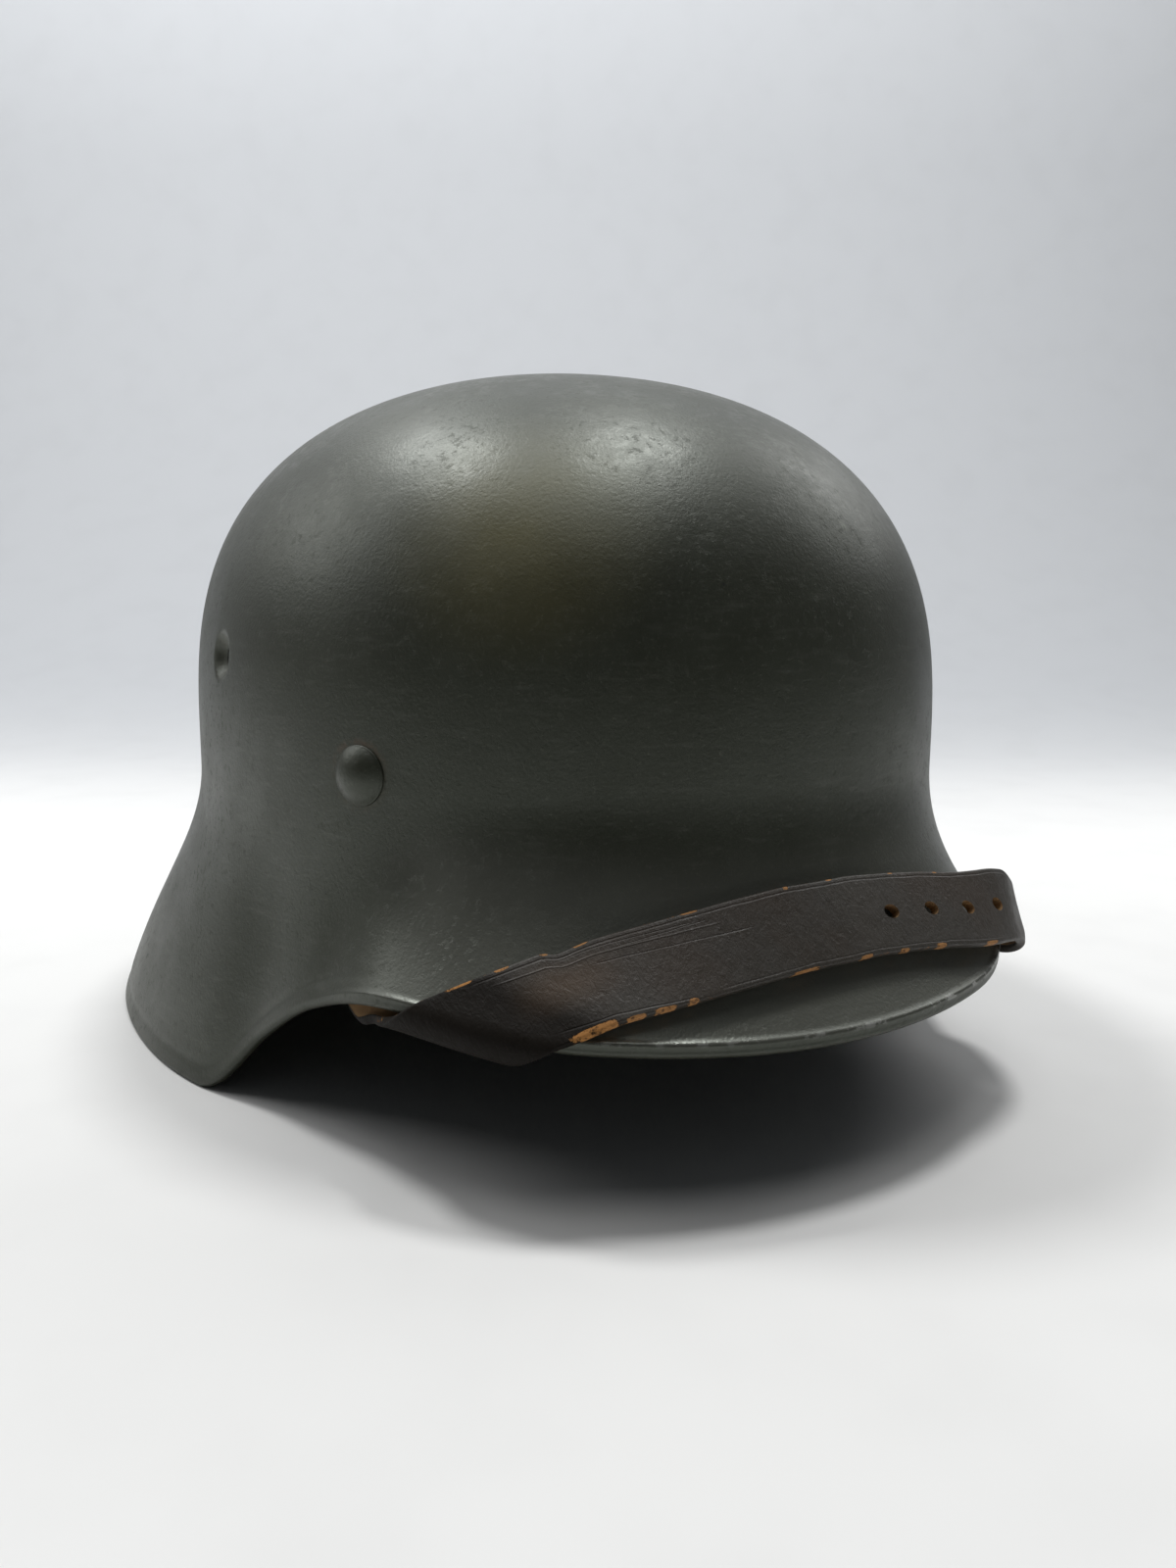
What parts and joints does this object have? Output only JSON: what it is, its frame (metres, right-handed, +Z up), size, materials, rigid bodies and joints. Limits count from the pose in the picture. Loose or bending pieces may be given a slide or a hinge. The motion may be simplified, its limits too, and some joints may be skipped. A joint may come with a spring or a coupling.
{
  "type": "military steel helmet",
  "caption": "Deep pressed steel helmet shell with short visor, flared neck guard, rolled rim, side vents and domed rivets, leather chin strap with buckle laid over the visor.",
  "frame": {"origin": "on the surface that the helmet rests on, below the middle of its bounding box; the surface is the plane of the side and rear rim", "axes": "+Z up towards the crown, -Y the front with the visor, -X the wearer's right"},
  "size_m": [0.2266, 0.2828, 0.1665],
  "materials": {
    "field_paint": "satin",
    "strap_leather": "satin",
    "plain_steel": "satin"
  },
  "bodies": {
    "root": {"shell": "field_paint", "rivet_right": "field_paint", "rivet_left": "field_paint", "rivet_rear": "field_paint", "strap_lug_right": "plain_steel", "strap_lug_left": "plain_steel", "strap_long": "strap_leather", "strap_short": "strap_leather", "buckle": "plain_steel"}
  },
  "joints": []
}
